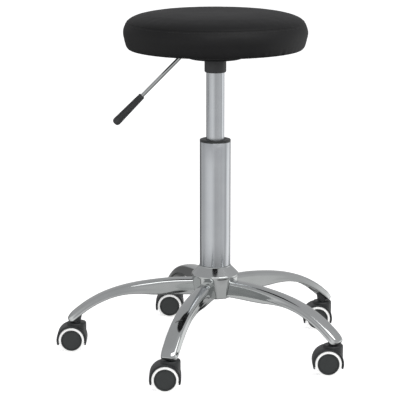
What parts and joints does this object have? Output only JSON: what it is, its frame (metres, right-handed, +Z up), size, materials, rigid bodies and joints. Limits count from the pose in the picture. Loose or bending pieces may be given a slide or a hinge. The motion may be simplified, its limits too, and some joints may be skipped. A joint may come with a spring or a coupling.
{
  "type": "adjustable swivel stool",
  "caption": "Round padded swivel stool on a chrome gas lift with a lever, an arched five-arm base and twin-wheel casters.",
  "frame": {"origin": "column axis on the floor, under the centre of the seat", "axes": "+Z up along the column; the release lever and the casters' trail point to -X; arm 1 points to -X and the others follow every 72 degrees counter-clockwise seen from above"},
  "size_m": [0.5525, 0.5632, 0.6695],
  "materials": {
    "black_vinyl": "semi-matt coated fabric (faux leather) with a fine grain, over foam",
    "plywood": "raw plywood",
    "lining_cloth": "thin non-woven cloth",
    "black_enamel": "satin black enamel",
    "chrome_plate": "polished chrome plate",
    "zinc_steel": "bright zinc",
    "black_nylon": "fine-textured black nylon",
    "pale_tread": "matt pale polyurethane"
  },
  "bodies": {
    "base": {"base_hub": "chrome_plate", "base_arm_1": "chrome_plate", "base_arm_2": "chrome_plate", "base_arm_3": "chrome_plate", "base_arm_4": "chrome_plate", "base_arm_5": "chrome_plate", "outer_column": "chrome_plate", "column_bush": "black_nylon", "caster_1_stem": "zinc_steel", "caster_2_stem": "zinc_steel", "caster_3_stem": "zinc_steel", "caster_4_stem": "zinc_steel", "caster_5_stem": "zinc_steel"},
    "spindle": {"piston_rod": "zinc_steel", "thrust_bearing": "zinc_steel", "retaining_clip": "zinc_steel"},
    "seat": {"gas_cylinder": "chrome_plate", "taper_socket": "black_enamel", "seat_plate": "black_enamel", "plate_screw_1": "zinc_steel", "plate_screw_2": "zinc_steel", "plate_screw_3": "zinc_steel", "plate_screw_4": "zinc_steel", "lever_pin": "zinc_steel", "seat_board": "plywood", "dust_cover": "lining_cloth", "seat_cushion": "black_vinyl"},
    "lever": {"release_lever": "chrome_plate", "lever_grip": "black_nylon"},
    "valve": {"release_button": "zinc_steel"},
    "caster_1": {"caster_1_hood": "black_nylon", "caster_1_axle": "zinc_steel"},
    "caster_1_pair_l": {"caster_1_wheel_l": "black_nylon", "caster_1_tread_l": "pale_tread"},
    "caster_1_pair_r": {"caster_1_wheel_r": "black_nylon", "caster_1_tread_r": "pale_tread"},
    "caster_2": {"caster_2_hood": "black_nylon", "caster_2_axle": "zinc_steel"},
    "caster_2_pair_l": {"caster_2_wheel_l": "black_nylon", "caster_2_tread_l": "pale_tread"},
    "caster_2_pair_r": {"caster_2_wheel_r": "black_nylon", "caster_2_tread_r": "pale_tread"},
    "caster_3": {"caster_3_hood": "black_nylon", "caster_3_axle": "zinc_steel"},
    "caster_3_pair_l": {"caster_3_wheel_l": "black_nylon", "caster_3_tread_l": "pale_tread"},
    "caster_3_pair_r": {"caster_3_wheel_r": "black_nylon", "caster_3_tread_r": "pale_tread"},
    "caster_4": {"caster_4_hood": "black_nylon", "caster_4_axle": "zinc_steel"},
    "caster_4_pair_l": {"caster_4_wheel_l": "black_nylon", "caster_4_tread_l": "pale_tread"},
    "caster_4_pair_r": {"caster_4_wheel_r": "black_nylon", "caster_4_tread_r": "pale_tread"},
    "caster_5": {"caster_5_hood": "black_nylon", "caster_5_axle": "zinc_steel"},
    "caster_5_pair_l": {"caster_5_wheel_l": "black_nylon", "caster_5_tread_l": "pale_tread"},
    "caster_5_pair_r": {"caster_5_wheel_r": "black_nylon", "caster_5_tread_r": "pale_tread"}
  },
  "joints": [
    {"name": "seat_swivel", "type": "hinge", "parent": "base", "child": "spindle", "pos_m": [0, 0, 0.12], "axis": [0, 0, 1], "continuous": true},
    {"name": "height_slide", "type": "slide", "parent": "spindle", "child": "seat", "axis": [0, 0, 1], "range_m": [-0.12, 0.06]},
    {"name": "lever_pull", "type": "hinge", "parent": "seat", "child": "lever", "pos_m": [-0.03, 0, 0.5878], "axis": [0, 1, 0], "range_deg": [0, 5], "stiffness_Nm_per_rad": 4, "springref_deg": -3.44},
    {"name": "valve_press", "type": "slide", "parent": "seat", "child": "valve", "axis": [0, 0, -1], "range_m": [0, 0.003]},
    {"name": "caster_1_swivel", "type": "hinge", "parent": "base", "child": "caster_1", "pos_m": [-0.273, 0, 0.05], "axis": [0, 0, 1], "continuous": true},
    {"name": "caster_1_spin_l", "type": "hinge", "parent": "caster_1", "child": "caster_1_pair_l", "pos_m": [-0.282, 0, 0.0252], "axis": [0, 1, 0], "continuous": true},
    {"name": "caster_1_spin_r", "type": "hinge", "parent": "caster_1", "child": "caster_1_pair_r", "pos_m": [-0.282, 0, 0.0252], "axis": [0, 1, 0], "continuous": true},
    {"name": "caster_2_swivel", "type": "hinge", "parent": "base", "child": "caster_2", "pos_m": [-0.08436, -0.25964, 0.05], "axis": [0, 0, 1], "continuous": true},
    {"name": "caster_2_spin_l", "type": "hinge", "parent": "caster_2", "child": "caster_2_pair_l", "pos_m": [-0.09336, -0.25964, 0.0252], "axis": [0, 1, 0], "continuous": true},
    {"name": "caster_2_spin_r", "type": "hinge", "parent": "caster_2", "child": "caster_2_pair_r", "pos_m": [-0.09336, -0.25964, 0.0252], "axis": [0, 1, 0], "continuous": true},
    {"name": "caster_3_swivel", "type": "hinge", "parent": "base", "child": "caster_3", "pos_m": [0.22086, -0.16046, 0.05], "axis": [0, 0, 1], "continuous": true},
    {"name": "caster_3_spin_l", "type": "hinge", "parent": "caster_3", "child": "caster_3_pair_l", "pos_m": [0.21186, -0.16046, 0.0252], "axis": [0, 1, 0], "continuous": true},
    {"name": "caster_3_spin_r", "type": "hinge", "parent": "caster_3", "child": "caster_3_pair_r", "pos_m": [0.21186, -0.16046, 0.0252], "axis": [0, 1, 0], "continuous": true},
    {"name": "caster_4_swivel", "type": "hinge", "parent": "base", "child": "caster_4", "pos_m": [0.22086, 0.16046, 0.05], "axis": [0, 0, 1], "continuous": true},
    {"name": "caster_4_spin_l", "type": "hinge", "parent": "caster_4", "child": "caster_4_pair_l", "pos_m": [0.21186, 0.16046, 0.0252], "axis": [0, 1, 0], "continuous": true},
    {"name": "caster_4_spin_r", "type": "hinge", "parent": "caster_4", "child": "caster_4_pair_r", "pos_m": [0.21186, 0.16046, 0.0252], "axis": [0, 1, 0], "continuous": true},
    {"name": "caster_5_swivel", "type": "hinge", "parent": "base", "child": "caster_5", "pos_m": [-0.08436, 0.25964, 0.05], "axis": [0, 0, 1], "continuous": true},
    {"name": "caster_5_spin_l", "type": "hinge", "parent": "caster_5", "child": "caster_5_pair_l", "pos_m": [-0.09336, 0.25964, 0.0252], "axis": [0, 1, 0], "continuous": true},
    {"name": "caster_5_spin_r", "type": "hinge", "parent": "caster_5", "child": "caster_5_pair_r", "pos_m": [-0.09336, 0.25964, 0.0252], "axis": [0, 1, 0], "continuous": true}
  ],
  "couplings": [
    {"joint": "valve_press", "follows": "lever_pull", "m_per_rad": 0.034}
  ]
}
